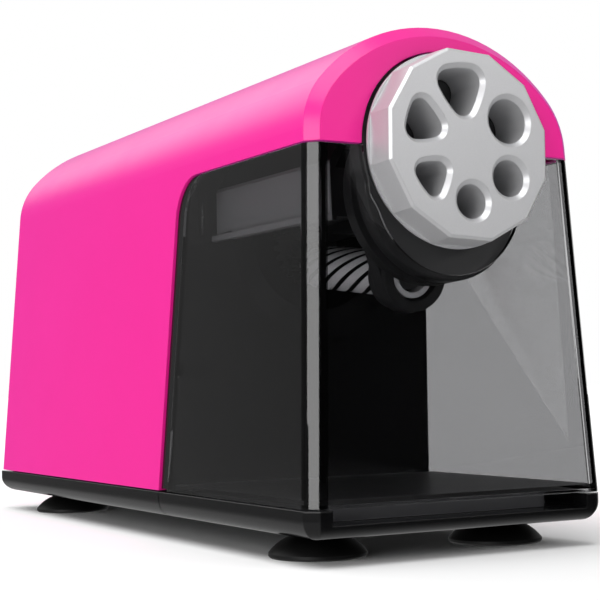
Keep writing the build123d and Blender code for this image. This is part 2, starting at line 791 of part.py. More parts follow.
# Hood: a folded cover over the cutter with lips along its lower edges and a plate behind the collar
with BuildPart() as cutter_shroud:
    hood_depth = bulkhead_depth - 2
    with BuildSketch(Plane.XZ.offset(-bulkhead_y)):
        with BuildLine():
            hood_line = Polyline(
                (-hood_half, hood_low),
                (-hood_half, hood_eave),
                (-hood_top_half, hood_top),
                (hood_top_half, hood_top),
                (hood_half, hood_eave),
                (hood_half, hood_low),
            )
            offset(hood_line, amount=hood_wall, side=Side.RIGHT, closed=True)
        make_face()
        for side in (-1, 1):
            with Locations((side * (hood_half + (hood_lip - hood_wall) / 2), hood_low)):
                Rectangle(hood_wall + hood_lip, hood_lip, align=(Align.CENTER, Align.MAX))
    extrude(amount=hood_depth)
    split(bisect_by=station(collar_back), keep=Keep.BOTTOM)
    with BuildSketch(nose.offset(-collar_back)):
        with Locations((0, -collar_drop)):
            Circle(collar_waist)
        plate_drop = (hood_low - dial_height) / cos(radians(front_rake))
        plate_rise = (hood_eave - dial_height) / cos(radians(front_rake))
        with Locations((0, plate_drop)):
            Rectangle(2 * hood_half - hood_wall, plate_rise - plate_drop, align=(Align.CENTER, Align.MIN))
        with Locations((0, -hole_pitch_radius)):
            Circle(guide_radius + seat_gap, mode=Mode.SUBTRACT)
        Circle(clip_radius + 2 * seat_gap, mode=Mode.SUBTRACT)
    extrude(amount=-hood_plate)
    with BuildSketch(station(boss_front)):
        Circle(boss_radius + seat_gap)
    extrude(amount=-2 * bulkhead_wall - bulkhead_depth + boss_front, mode=Mode.SUBTRACT)
finish(cutter_shroud, "cutter_shroud")

# Bulkhead: the black wall behind the bin, with the frame round the bay, two ribs and the gearbox's standoffs
with BuildPart() as chassis:
    with BuildSketch(station(pillar_boss_end)):
        for spot in pillar_spots:
            with Locations(spot):
                Circle(pillar_boss_radius)
        with Locations(idler_spot):
            Circle(pillar_boss_radius + 1.5)
    extrude(amount=pillar_boss_end - boss_front)
    split(bisect_by=Plane.XZ.offset(-bulkhead_y), keep=Keep.BOTTOM)
    extrude(arch_section(bulkhead_y, bulkhead_inset, platform_height), amount=-bulkhead_wall)
    add(bay_frame())
    with BuildSketch(Plane.XY.offset(platform_height)):
        with Locations((0, bulkhead_y + bulkhead_wall)):
            Rectangle(platform_width, flange_depth, align=(Align.CENTER, Align.MIN))
    extrude(amount=flange_height)
    split(bisect_by=Plane.XY.offset(platform_height), keep=Keep.TOP)
    with BuildSketch(station(boss_front)):
        Circle(boss_radius + fit_gap)
    extrude(amount=-(bush_depth + bush_length - boss_front), mode=Mode.SUBTRACT)
    with BuildSketch(station(pillar_boss_end, idler_spot)):
        Circle(idler_axle_radius + fit_gap)
    extrude(amount=pillar_boss_end - bulkhead_depth - 4, mode=Mode.SUBTRACT)
    with BuildSketch(Plane.XZ.offset(-bulkhead_y)):
        with Locations(button_spot):
            Circle(button_radius + fit_gap)
    extrude(amount=-2 * bulkhead_wall, mode=Mode.SUBTRACT)
    for side in (-1, 1):
        with BuildSketch(Plane.XY.offset(platform_height)):
            with Locations((side * foot_spread, bulkhead_y + bulkhead_wall + flange_depth / 2)):
                Circle(screw_radius + fit_gap)
        extrude(amount=flange_height, mode=Mode.SUBTRACT)
        with BuildSketch(Plane.XY.offset(hood_low)):
            with Locations((side * rib_spread, bulkhead_y)):
                Circle(rib_radius)
        extrude(amount=hood_eave - hood_low)
finish(chassis, "chassis")

# Ring case: a round boss set through the bulkhead, with a stepped recess for the ring gear and the bush
with BuildPart() as ring_case:
    with BuildSketch(station(boss_front)):
        Circle(boss_radius)
    extrude(amount=-(bush_depth + bush_length - boss_front))
    for recess, recess_end in (
        (boss_recess, boss_front + boss_recess_depth),
        (ring_radius + fit_gap, ring_depth + ring_width),
        (ring_pitch + 2 * gear_module_fine, bush_depth),
        (bush_radius + fit_gap, bush_depth + bush_length),
    ):
        with BuildSketch(station(boss_front)):
            Circle(recess)
        extrude(amount=boss_front - recess_end, mode=Mode.SUBTRACT)
finish(ring_case, "ring_case")

# Ring gear with inside teeth, held in the ring case
with BuildPart() as ring_gear:
    with BuildSketch(station(ring_depth)):
        Circle(ring_radius)
    extrude(amount=-ring_width)
    inner_gear = gear_face(station(ring_depth), ring_teeth, gear_module_fine, -90, -gear_backlash)
    extrude(inner_gear, amount=-ring_width, mode=Mode.SUBTRACT)
finish(ring_gear, "ring_gear")

# Cutter carrier: a nose ring and end cup in front, a half-round spine and a drive hub behind
spine_cut = 4 * spine_radius
with BuildPart() as cutter_carrier:
    with BuildSketch(station(nose_ring_depth)):
        with BuildLine():
            CenterArc((0, 0), nose_ring_radius, 0, 360)
            CenterArc((0, -cup_offset), cup_radius, 0, 360)
        make_hull()
    extrude(amount=-nose_ring_width)
    with BuildSketch(along_cutter(0)):
        Circle(cup_radius)
    extrude(amount=-cup_length)
    with BuildSketch(along_cutter(0)):
        Circle(cup_bore)
    extrude(amount=-cup_pocket, mode=Mode.SUBTRACT)
    with BuildSketch(along_cutter(0)):
        Circle(axle_radius + fit_gap)
    extrude(amount=-cup_length, mode=Mode.SUBTRACT)
    with BuildSketch(station(nose_ring_depth)):
        Circle(spine_radius)
        Circle(spine_bore, mode=Mode.SUBTRACT)
        with Locations((0, spine_low)):
            Rectangle(spine_cut, spine_cut, align=(Align.CENTER, Align.MAX), mode=Mode.SUBTRACT)
    extrude(amount=-(spine_end - nose_ring_depth))
    with BuildSketch(station(spine_end - nose_ring_width)):
        Circle(hub_core_radius)
        with Locations((0, hub_core_low)):
            Rectangle(spine_cut, spine_cut, align=(Align.CENTER, Align.MAX), mode=Mode.SUBTRACT)
    extrude(amount=-(hub_disc_depth - spine_end + nose_ring_width))
    with BuildSketch(station(hub_disc_depth)):
        Circle(hub_disc_radius)
    extrude(amount=-hub_disc_width)
    with BuildSketch(station(shaft_seat)):
        Circle(shaft_radius + fit_gap)
    extrude(amount=-hub_disc_width, mode=Mode.SUBTRACT)
    with BuildSketch(station(nose_ring_depth - cup_length)):
        Circle(nose_ring_bore)
    extrude(amount=-(nose_ring_width + 2 * cup_length), mode=Mode.SUBTRACT)
    axle_end = (shaft_seat - seat_gap - cup_depth) * pinion_reach / (pinion_depth - cup_depth)
    with BuildSketch(along_cutter(cutter_start)):
        Circle(axle_radius + fit_gap)
    extrude(amount=-(axle_end - cutter_start), mode=Mode.SUBTRACT)
finish(cutter_carrier, "cutter_carrier")

# Cutter axle with the steel ring and clip that show in the carrier's cup
with BuildPart() as cutter_axle:
    with BuildSketch(along_cutter(axle_inset)):
        Circle(axle_radius)
    extrude(amount=-(axle_end - axle_inset - seat_gap))
finish(cutter_axle, "cutter_axle")

with BuildPart() as axle_ring:
    with BuildSketch(along_cutter(2 * axle_inset)):
        Circle(bush_ring_radius)
        Circle(bush_ring_bore, mode=Mode.SUBTRACT)
    extrude(amount=-(cup_pocket - 2 * axle_inset))
finish(axle_ring, "axle_ring")

with BuildPart() as axle_clip:
    with BuildSketch(along_cutter(cup_pocket - axle_clip_length)):
        Circle(axle_clip_radius)
        Circle(axle_radius + fit_gap, mode=Mode.SUBTRACT)
        with Locations((0, axle_clip_radius)):
            Rectangle(axle_clip_slot, 2 * axle_clip_radius, mode=Mode.SUBTRACT)
    extrude(amount=-axle_clip_length)
finish(axle_clip, "axle_clip")

# Helical cutter: a steel roller with twisted flutes
cutter_steps = 10
with BuildPart() as helical_cutter:
    for k in range(cutter_steps + 1):
        share = k / cutter_steps
        level = along_cutter(cutter_start + share * cutter_length)
        with BuildSketch(level):
            with BuildLine():
                tooth = 360 / cutter_flutes
                flute_points = []
                for n in range(cutter_flutes):
                    turn = radians(n * tooth + share * cutter_twist)
                    land = radians(n * tooth + 0.3 * tooth + share * cutter_twist)
                    gullet = radians(n * tooth + 0.72 * tooth + share * cutter_twist)
                    flute_points.append((cutter_radius * cos(turn), cutter_radius * sin(turn)))
                    flute_points.append((cutter_radius * cos(land), cutter_radius * sin(land)))
                    depth = cutter_radius - cutter_flute_depth
                    flute_points.append((depth * cos(gullet), depth * sin(gullet)))
                Polyline(*flute_points, close=True)
            make_face()
    loft(ruled=True)
    with BuildSketch(along_cutter(cutter_start)):
        Circle(axle_radius + fit_gap)
    extrude(amount=-cutter_length, mode=Mode.SUBTRACT)
finish(helical_cutter, "helical_cutter")

# Cutter pinion: tapered, so that its teeth lie along the ring gear's
with BuildPart() as cutter_pinion:
    for end in (-1, 1):
        size = 1 + end * cutter_slope * pinion_width / 2 / pinion_pitch
        level = along_cutter(pinion_reach + end * pinion_width / 2)
        add(gear_face(level, pinion_teeth, gear_module_fine * size, -90, gear_backlash))
    loft(ruled=True)
    with BuildSketch(along_cutter(cutter_start)):
        Circle(axle_radius + fit_gap)
    extrude(amount=-2 * pinion_reach, mode=Mode.SUBTRACT)
finish(cutter_pinion, "cutter_pinion")

# Carrier shaft, its bearings and its gear
shaft_end = plate_depth + plate_thickness + 1.0
with BuildPart() as carrier_shaft:
    with BuildSketch(station(shaft_seat)):
        Circle(shaft_radius)
    extrude(amount=-(shaft_end - shaft_seat))
    chamfer(carrier_shaft.edges().filter_by(GeomType.CIRCLE), 0.4)
finish(carrier_shaft, "carrier_shaft")

with BuildPart() as front_bush:
    with BuildSketch(station(bush_depth)):
        Circle(bush_radius)
        Circle(shaft_radius + fit_gap, mode=Mode.SUBTRACT)
    extrude(amount=-bush_length)
finish(front_bush, "front_bush")

with BuildPart() as rear_bush:
    with BuildSketch(station(plate_depth + plate_thickness - rear_bush_length)):
        Circle(rear_bush_radius)
        Circle(shaft_radius + fit_gap, mode=Mode.SUBTRACT)
    extrude(amount=-rear_bush_length)
finish(rear_bush, "rear_bush")

with BuildPart() as carrier_gear:
    gear = gear_face(station(carrier_gear_depth), carrier_teeth, gear_module, idler_angle, gear_backlash)
    extrude(gear, amount=-carrier_gear_width)
    gear_back = carrier_gear_depth + carrier_gear_width
    for depth, direction in ((carrier_gear_depth, -1), (gear_back, 1)):
        with BuildSketch(station(depth)):
            Circle(gear_module * carrier_teeth / 2 - gear_rim)
            Circle(2 * shaft_radius, mode=Mode.SUBTRACT)
        extrude(amount=direction * carrier_gear_width / 4, mode=Mode.SUBTRACT)
    with BuildSketch(station(carrier_gear_depth)):
        Circle(shaft_radius + fit_gap)
    extrude(amount=-carrier_gear_width, mode=Mode.SUBTRACT)
finish(carrier_gear, "carrier_gear")

# Idler: a large gear and a small one turning together on a fixed axle
idler_pinion_start = pillar_boss_end + 2 * seat_gap
with BuildPart() as idler_pinion:
    first = idler_angle + 180 + 180 / idler_pinion_teeth
    level = station(idler_pinion_start, idler_spot)
    pinion = gear_face(level, idler_pinion_teeth, gear_module, first, gear_backlash)
    extrude(pinion, amount=idler_pinion_start - idler_gear_depth)
    with BuildSketch(level):
        Circle(idler_axle_radius + fit_gap)
    extrude(amount=idler_pinion_start - idler_gear_depth, mode=Mode.SUBTRACT)
finish(idler_pinion, "idler_pinion")

with BuildPart() as idler_gear:
    level = station(idler_gear_depth, idler_spot)
    extrude(gear_face(level, idler_teeth, gear_module, motor_angle, gear_backlash), amount=-idler_gear_width)
    with BuildSketch(level):
        Circle(idler_axle_radius + fit_gap)
    extrude(amount=-idler_gear_width, mode=Mode.SUBTRACT)
    with BuildSketch(level):
        with PolarLocations(idler_hole_pitch_radius, 5):
            Circle(idler_hole_radius)
    extrude(amount=-idler_gear_width, mode=Mode.SUBTRACT)
finish(idler_gear, "idler_gear")

with BuildPart() as idler_axle:
    axle_start = bulkhead_depth + 4.5
    with BuildSketch(station(axle_start, idler_spot)):
        Circle(idler_axle_radius)
    extrude(amount=-(plate_depth + plate_thickness - axle_start))
finish(idler_axle, "idler_axle")

# Gearbox plate on pillars, with screws
with BuildPart() as gear_plate:
    with BuildSketch(station(plate_depth)) as plate_outline:
        with BuildLine():
            Polyline(
                (-plate_half, plate_top), (plate_half, plate_top), (plate_half + 1, plate_low),
                (-plate_half, plate_low + 5), close=True,
            )
        make_face()
        fillet(plate_outline.vertices(), 4)
        Circle(rear_bush_radius + fit_gap, mode=Mode.SUBTRACT)
        with Locations(idler_spot):
            Circle(idler_axle_radius + fit_gap, mode=Mode.SUBTRACT)
        with Locations(motor_spot):
            Circle(motor_nose_radius + fit_gap, mode=Mode.SUBTRACT)
            with PolarLocations(motor_screw_pitch_radius, 2):
                Circle(screw_radius + fit_gap, mode=Mode.SUBTRACT)
        for spot in pillar_spots:
            with Locations(spot):
                Circle(screw_radius + fit_gap, mode=Mode.SUBTRACT)
    extrude(amount=-plate_thickness)
finish(gear_plate, "gear_plate")

with BuildPart() as gear_pillars:
    with BuildSketch(station(pillar_boss_end)):
        for spot in pillar_spots:
            with Locations(spot):
                RegularPolygon(pillar_radius, 6)
                Circle(screw_radius + fit_gap, mode=Mode.SUBTRACT)
    extrude(amount=-(plate_depth - pillar_boss_end))
finish(gear_pillars, "gear_pillars")

with BuildPart() as plate_screws:
    with BuildSketch(station(plate_depth + plate_thickness)):
        for spot in pillar_spots:
            with Locations(spot):
                Circle(screw_head_radius)
    extrude(amount=-screw_head)
    with BuildSketch(station(plate_depth + plate_thickness)):
        for spot in pillar_spots:
            with Locations(spot):
                Circle(screw_radius)
    extrude(amount=plate_thickness + 8)
finish(plate_screws, "plate_screws")

# Motor: a drawn can with an end bell, a shaft right through it, a pinion and a cooling fan
motor_front = plate_depth + plate_thickness
motor_rear = motor_front + motor_length
shaft_tip = idler_gear_depth - 2 * motor_pinion_overlap
with BuildPart() as motor_can:
    with BuildSketch(station(motor_front, motor_spot)):
        Circle(motor_radius)
    extrude(amount=-motor_length)
    fillet(motor_can.edges().filter_by(GeomType.CIRCLE).sort_by(Axis.Y)[0:1], motor_edge)
    with BuildSketch(station(motor_front, motor_spot)):
        Circle(motor_nose_radius)
    extrude(amount=plate_thickness)
    with BuildSketch(station(plate_depth, motor_spot)):
        Circle(motor_shaft_radius + fit_gap)
    extrude(amount=-2 * motor_length, mode=Mode.SUBTRACT)
    with BuildSketch(station(motor_front, motor_spot)):
        with PolarLocations(motor_screw_pitch_radius, 2):
            Circle(screw_radius + fit_gap)
    extrude(amount=-6, mode=Mode.SUBTRACT)
finish(motor_can, "motor_can")

with BuildPart() as motor_end_bell:
    with BuildSketch(station(motor_rear, motor_spot)):
        Circle(motor_bell_radius)
        Circle(motor_shaft_radius + fit_gap, mode=Mode.SUBTRACT)
    extrude(amount=-motor_bell_length)
finish(motor_end_bell, "motor_end_bell")

with BuildPart() as motor_shaft:
    with BuildSketch(station(shaft_tip, motor_spot)):
        Circle(motor_shaft_radius)
    extrude(amount=-(motor_rear + motor_bell_length + motor_shaft_tail - shaft_tip))
finish(motor_shaft, "motor_shaft")

with BuildPart() as motor_pinion:
    first = motor_angle + 180 + 180 / motor_teeth
    level = station(idler_gear_depth - motor_pinion_overlap, motor_spot)
    pinion = gear_face(level, motor_teeth, gear_module, first, gear_backlash)
    extrude(pinion, amount=-(idler_gear_width + 2 * motor_pinion_overlap))
    with BuildSketch(level):
        Circle(motor_shaft_radius + fit_gap)
    extrude(amount=-(idler_gear_width + 2 * motor_pinion_overlap), mode=Mode.SUBTRACT)
finish(motor_pinion, "motor_pinion")

with BuildPart() as motor_fan:
    fan_depth = motor_rear + motor_bell_length + 2.0
    level = station(fan_depth, motor_spot)
    with BuildSketch(level):
        Circle(fan_hub_radius)
        with PolarLocations(0, fan_blades):
            Rectangle(fan_radius, 1.4, align=(Align.MIN, Align.CENTER))
    extrude(amount=-fan_width)
    with BuildSketch(level):
        Circle(motor_shaft_radius + fit_gap)
    extrude(amount=-fan_width, mode=Mode.SUBTRACT)
finish(motor_fan, "motor_fan")

with BuildPart() as motor_screws:
    with BuildSketch(station(plate_depth, motor_spot)):
        with PolarLocations(motor_screw_pitch_radius, 2):
            Circle(screw_head_radius)
    extrude(amount=screw_head)
    with BuildSketch(station(plate_depth, motor_spot)):
        with PolarLocations(motor_screw_pitch_radius, 2):
            Circle(screw_radius)
    extrude(amount=-(plate_thickness + 5))
finish(motor_screws, "motor_screws")

# Interlock: a switch on the back of the bulkhead with a button that feels the bin
with BuildPart() as interlock_switch:
    with BuildSketch(Plane.XZ.offset(-(bulkhead_y + bulkhead_wall))):
        with Locations((button_spot[0] - button_radius - 1.4, button_height)):
            Rectangle(switch_size[0], switch_size[2], align=(Align.MIN, Align.CENTER))
    extrude(amount=-switch_size[1])
    with BuildSketch(Plane.XZ.offset(-(bulkhead_y + bulkhead_wall))):
        with Locations(button_spot):
            Circle(button_radius + fit_gap)
    extrude(amount=-switch_bore_depth, mode=Mode.SUBTRACT)
finish(interlock_switch, "interlock_switch")

with BuildPart() as interlock_button:
    with BuildSketch(Plane.XZ.offset(-bulkhead_y)):
        with Locations(button_spot):
            Circle(button_radius)
    extrude(amount=-button_length)
    fillet(interlock_button.edges().filter_by(GeomType.CIRCLE).sort_by(Axis.Y)[0], 0.7)
finish(interlock_button, "interlock_button")

# Circuit board on posts of the rear base, with its relay, capacitor and terminal block
with BuildPart() as circuit_board:
    with BuildSketch(Plane.XY.offset(board_height)):
        with Locations((0, front_y + board_depth)):
            Rectangle(board_size[0], board_size[1])
    extrude(amount=board_size[2])
finish(circuit_board, "circuit_board")

with BuildPart() as board_parts:
    board_top = Plane.XY.offset(board_height + board_size[2])
    with BuildSketch(board_top):
        with Locations((-board_size[0] / 4, front_y + board_depth)):
            Rectangle(relay_size[0], relay_size[1])
    extrude(amount=relay_size[2])
    with BuildSketch(board_top):
        with Locations((board_size[0] / 5, front_y + board_depth + capacitor_radius)):
            Circle(capacitor_radius)
    extrude(amount=capacitor_height)
    with BuildSketch(board_top):
        with Locations((board_size[0] / 4, front_y + board_depth - terminal_size[1])):
            Rectangle(terminal_size[0], terminal_size[1])
    extrude(amount=terminal_size[2])
finish(board_parts, "board_parts")

# Cord gland in the rear wall, with its bore left empty
with BuildPart() as cord_gland:
    with BuildSketch(gland_plane):
        Circle(gland_flange_radius)
    extrude(amount=gland_flange)
    with BuildSketch(gland_plane):
        Circle(gland_radius)
    extrude(amount=-(housing_wall + 3))
    with BuildSketch(gland_plane.offset(gland_flange)):
        Circle(gland_bore)
    extrude(amount=-(gland_flange + housing_wall), mode=Mode.SUBTRACT)
    fillet(cord_gland.edges().filter_by(GeomType.CIRCLE).sort_by(Axis.Y)[-1], 0.6)
finish(cord_gland, "cord_gland")

# Screws that hold the housing to the rear base, and the bulkhead to the platform
with BuildPart() as base_screws:
    for depth in (front_post_depth, rear_post_depth):
        for side in (-1, 1):
            spot = (side * (half_width(post_seat) - post_inset), front_y + depth)
            with BuildSketch(Plane.XY.offset(base_bottom + seat_gap)):
                with Locations(spot):
                    Circle(screw_head_radius)
            extrude(amount=screw_head)
            with BuildSketch(Plane.XY.offset(base_bottom + seat_gap)):
                with Locations(spot):
                    Circle(screw_radius - fit_gap)
            extrude(amount=post_seat)
finish(base_screws, "base_screws")

with BuildPart() as chassis_screws:
    for side in (-1, 1):
        spot = (side * foot_spread, bulkhead_y + bulkhead_wall + flange_depth / 2)
        with BuildSketch(Plane.XY.offset(platform_height + flange_height)):
            with Locations(spot):
                Circle(flange_depth / 2 - 0.1)
        extrude(amount=screw_head)
        with BuildSketch(Plane.XY.offset(platform_height + flange_height)):
            with Locations(spot):
                Circle(screw_radius)
        extrude(amount=-(flange_height + 3.5))
finish(chassis_screws, "chassis_screws")
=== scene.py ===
import json
import math

import bmesh
import bpy
from mathutils import Matrix, Vector


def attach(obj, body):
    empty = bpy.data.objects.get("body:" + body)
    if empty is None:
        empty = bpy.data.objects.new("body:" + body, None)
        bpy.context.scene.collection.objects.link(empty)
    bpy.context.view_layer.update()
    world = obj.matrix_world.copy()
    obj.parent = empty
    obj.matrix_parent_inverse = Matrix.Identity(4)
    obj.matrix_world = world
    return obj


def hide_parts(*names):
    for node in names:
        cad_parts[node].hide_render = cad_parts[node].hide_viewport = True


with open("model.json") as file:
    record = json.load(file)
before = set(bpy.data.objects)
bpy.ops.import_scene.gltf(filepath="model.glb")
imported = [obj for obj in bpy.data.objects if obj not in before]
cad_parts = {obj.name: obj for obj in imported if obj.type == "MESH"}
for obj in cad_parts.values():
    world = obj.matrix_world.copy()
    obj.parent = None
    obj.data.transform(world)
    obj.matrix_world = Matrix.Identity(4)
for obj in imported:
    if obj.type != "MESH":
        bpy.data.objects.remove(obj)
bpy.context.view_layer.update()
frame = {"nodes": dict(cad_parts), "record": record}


# Suction feet. Four black rubber cups, each pressed into a hole in the base by a barbed stud.
# Compression moulded, so the rubber is matt, with a soft sheen and a fine dusty grain.
def linear(hex_colour):
    """An sRGB hex colour as linear red, green, blue and alpha."""
    channels = [int(hex_colour[k : k + 2], 16) / 255 for k in (1, 3, 5)]
    return [c / 12.92 if c <= 0.04045 else ((c + 0.055) / 1.055) ** 2.4 for c in channels] + [1.0]


def add_node(tree, kind, settings, inputs):
    """Add one node with its own settings. Each input takes a value or another node's output."""
    made = tree.nodes.new(kind)
    for name, value in settings.items():
        setattr(made, name, value)
    for name, value in inputs.items():
        if isinstance(value, bpy.types.NodeSocket):
            tree.links.new(value, made.inputs[name])
        else:
            made.inputs[name].default_value = value
    return made


def moulded(name, colour, shade, roughness, grain_mm, grain_depth_mm, edge_mm):
    """Moulded plastic or rubber: a tool texture, drifts of tone, smudged gloss and eased edges."""
    drift_mm, smudge_mm, smudge_share = 30, 14, 0.15
    material = bpy.data.materials.new(name)
    material.use_nodes = True
    tree = material.node_tree
    surface = tree.nodes["Principled BSDF"]
    place = add_node(tree, "ShaderNodeTexCoord", {}, {}).outputs["Object"]
    drift, smudge, grain = (
        add_node(
            tree,
            "ShaderNodeTexNoise",
            {},
            {"Vector": place, "Scale": 1000 / size_mm, "Detail": detail},
        ).outputs["Fac"]
        for size_mm, detail in ((drift_mm, 3.0), (smudge_mm, 4.0), (grain_mm, 2.0))
    )
    tone = add_node(tree, "ShaderNodeMix", {"data_type": "RGBA"}, {0: drift})
    tone.inputs[6].default_value = linear(shade)
    tone.inputs[7].default_value = linear(colour)
    gloss = add_node(
        tree,
        "ShaderNodeMapRange",
        {},
        {
            "Value": smudge,
            "To Min": roughness * (1 - smudge_share),
            "To Max": roughness * (1 + smudge_share),
        },
    )
    eased = add_node(tree, "ShaderNodeBevel", {"samples": 4}, {"Radius": edge_mm / 1000})
    relief = add_node(
        tree,
        "ShaderNodeBump",
        {},
        {"Height": grain, "Distance": grain_depth_mm / 1000, "Normal": eased.outputs["Normal"]},
    )
    tree.links.new(tone.outputs[2], surface.inputs["Base Color"])
    tree.links.new(gloss.outputs["Result"], surface.inputs["Roughness"])
    tree.links.new(relief.outputs["Normal"], surface.inputs["Normal"])
    return material


def finish_nodes(material, *names):
    """Give these CAD pieces one finish."""
    for name in names:
        frame["nodes"][name].data.materials.clear()
        frame["nodes"][name].data.materials.append(material)


black_rubber = moulded("black moulded rubber", "#0B0B0B", "#070707", 0.5, 0.8, 0.008, 0.3)
finish_nodes(
    black_rubber, "foot_front_left", "foot_front_right", "foot_rear_left", "foot_rear_right"
)

# Base mouldings. Two black ABS trays that meet under the bin's rear edge, with a gland at the back.
# Polished tooling leaves the outside shiny and a little wavy.
# The front face, top front edge and sides of the raised platform are painted lighter grey, as painted
# light and reflection.
black_abs = moulded("gloss black ABS", "#0E0E0F", "#0A0A0B", 0.14, 6.0, 0.004, 0.5)
finish_nodes(black_abs, "rear_base", "cord_gland")
platform_half, platform_side, lip_top, platform_front = 0.0325, 0.0318, 0.0098, -0.0965
tray_abs = moulded("gloss black ABS with painted light on the platform", "#0E0E0F", "#0A0A0B", 0.14, 6.0, 0.004, 0.5)
tray_tree = tray_abs.node_tree
tray_place = add_node(tray_tree, "ShaderNodeTexCoord", {}, {}).outputs["Object"]
tray_axes = add_node(tray_tree, "ShaderNodeSeparateXYZ", {}, {"Vector": tray_place}).outputs
tray_across = add_node(
    tray_tree, "ShaderNodeMath", {"operation": "ABSOLUTE"}, {0: tray_axes["X"]}
).outputs[0]
tray_within = add_node(
    tray_tree, "ShaderNodeMath", {"operation": "LESS_THAN"}, {0: tray_across, 1: platform_half}
).outputs[0]
tray_above = add_node(
    tray_tree, "ShaderNodeMath", {"operation": "GREATER_THAN"}, {0: tray_axes["Z"], 1: lip_top}
).outputs[0]
tray_raised = add_node(
    tray_tree, "ShaderNodeMath", {"operation": "MULTIPLY"}, {0: tray_within, 1: tray_above}
).outputs[0]
tray_ahead = add_node(
    tray_tree, "ShaderNodeMath", {"operation": "LESS_THAN"}, {0: tray_axes["Y"], 1: platform_front}
).outputs[0]
tray_beside = add_node(
    tray_tree, "ShaderNodeMath", {"operation": "GREATER_THAN"}, {0: tray_across, 1: platform_side}
).outputs[0]
tray_upright = add_node(
    tray_tree, "ShaderNodeMath", {"operation": "MAXIMUM"}, {0: tray_ahead, 1: tray_beside}
).outputs[0]
# The front face, top front edge and sides of the raised platform are painted lighter grey: painted
# light and reflection. Their roughness stays that of the rest.
tray_painted_light = add_node(
    tray_tree, "ShaderNodeMath", {"operation": "MULTIPLY"}, {0: tray_raised, 1: tray_upright}
).outputs[0]
tray_polish = tray_tree.nodes["Mix"]
tray_tone = add_node(tray_tree, "ShaderNodeMix", {"data_type": "RGBA"}, {0: tray_painted_light})
tray_tree.links.new(tray_polish.outputs[2], tray_tone.inputs[6])
tray_tone.inputs[7].default_value = linear("#565658")
tray_surface = tray_tree.nodes["Principled BSDF"]
tray_tree.links.new(tray_tone.outputs[2], tray_surface.inputs["Base Color"])
finish_nodes(tray_abs, "front_base")

# Bulkhead and other inner mouldings. They carry the drive and show only through the bin.
# Black glass-filled nylon, satin from spark-eroded tooling, screwed to the base.
black_nylon = moulded("satin black nylon", "#1B1B1C", "#171718", 0.14, 0.6, 0.002, 0.4)
finish_nodes(
    black_nylon,
    "chassis",
    "ring_case",
    "interlock_switch",
    "interlock_button",
    "motor_end_bell",
    "motor_fan",
    "board_parts",
)

# Gear train and board. Moulded gears in natural nylon, and a laminate board behind them.
# The nylon is milky and satin, and the board has a green mask over its copper.
natural_nylon = moulded("natural nylon", "#E6E1D2", "#DCD6C6", 0.45, 1.0, 0.005, 0.1)
finish_nodes(natural_nylon, "carrier_gear", "idler_gear", "idler_pinion")
board_laminate = moulded("green board laminate", "#1F5B34", "#19502D", 0.4, 0.5, 0.004, 0.1)
finish_nodes(board_laminate, "circuit_board")


# Shafts, bushes, motor and screws. Turned and pressed steel, with brass bushes and motor pinion.
# Fine tool marks break up their shine.
def machined(name, colour, shade, metal, roughness, mark_mm, edge_mm):
    """Machined, plated or sprayed: fine marks that break up the gloss, and eased edges."""
    mark_share = 0.15
    material = bpy.data.materials.new(name)
    material.use_nodes = True
    tree = material.node_tree
    surface = tree.nodes["Principled BSDF"]
    surface.inputs["Metallic"].default_value = metal
    place = add_node(tree, "ShaderNodeTexCoord", {}, {}).outputs["Object"]
    marks = add_node(
        tree,
        "ShaderNodeTexNoise",
        {},
        {"Vector": place, "Scale": 1000 / mark_mm, "Detail": 3.0},
    ).outputs["Fac"]
    tone = add_node(tree, "ShaderNodeMix", {"data_type": "RGBA"}, {0: marks})
    tone.inputs[6].default_value = linear(shade)
    tone.inputs[7].default_value = linear(colour)
    gloss = add_node(
        tree,
        "ShaderNodeMapRange",
        {},
        {
            "Value": marks,
            "To Min": roughness * (1 - mark_share),
            "To Max": roughness * (1 + mark_share),
        },
    )
    eased = add_node(tree, "ShaderNodeBevel", {"samples": 4}, {"Radius": edge_mm / 1000})
    tree.links.new(tone.outputs[2], surface.inputs["Base Color"])
    tree.links.new(gloss.outputs["Result"], surface.inputs["Roughness"])
    tree.links.new(eased.outputs["Normal"], surface.inputs["Normal"])
    return material


turned_brass = machined("turned brass", "#C9A25B", "#B98F49", 1.0, 0.3, 0.8, 0.1)
finish_nodes(turned_brass, "front_bush", "rear_bush", "motor_pinion")
turned_steel = machined("turned steel", "#C9C9CB", "#B4B4B7", 1.0, 0.3, 0.7, 0.1)
finish_nodes(
    turned_steel,
    "carrier_shaft",
    "cutter_axle",
    "axle_clip",
    "dial_clip",
    "idler_axle",
    "gear_plate",
    "gear_pillars",
    "motor_shaft",
    "motor_can",
    "lever_pin",
    "plate_screws",
    "motor_screws",
    "base_screws",
    "chassis_screws",
)

# Cutter and its carrier. A steel roller with twisted lands, in a nylon frame that orbits the pencil.
# The lands are ground bright, the pinion and the ring gear are blackened, and the grooves are painted
# dark as painted shade between the lands.
# The roller turns on an axle, whose end ring is zinc plated.
cutter_joint = next(j for j in frame["record"]["behaviour"]["joints"] if j["name"] == "cutter_spin")
cutter_axis = Vector(cutter_joint["axis"])
cutter_inset = 0.009
cutter_front = Vector(cutter_joint["pos_m"]) - cutter_inset * cutter_axis
cutter_radius, cutter_bore, cutter_length = 0.006, 0.0016, 0.0374
lands, land_points, groove_depth = 10, 6, 0.0011
twist, twist_steps = math.radians(170), 44
cutter_weld = 1e-6
cutter_build = bmesh.new()
bmesh.ops.create_circle(cutter_build, segments=land_points * lands, radius=cutter_radius)
groove_scale = 1 - groove_depth / cutter_radius
bmesh.ops.scale(
    cutter_build,
    vec=(groove_scale, groove_scale, 1),
    verts=list(cutter_build.verts)[::land_points],
)
bmesh.ops.create_circle(cutter_build, segments=land_points * lands, radius=cutter_bore)
bmesh.ops.bridge_loops(cutter_build, edges=list(cutter_build.edges))
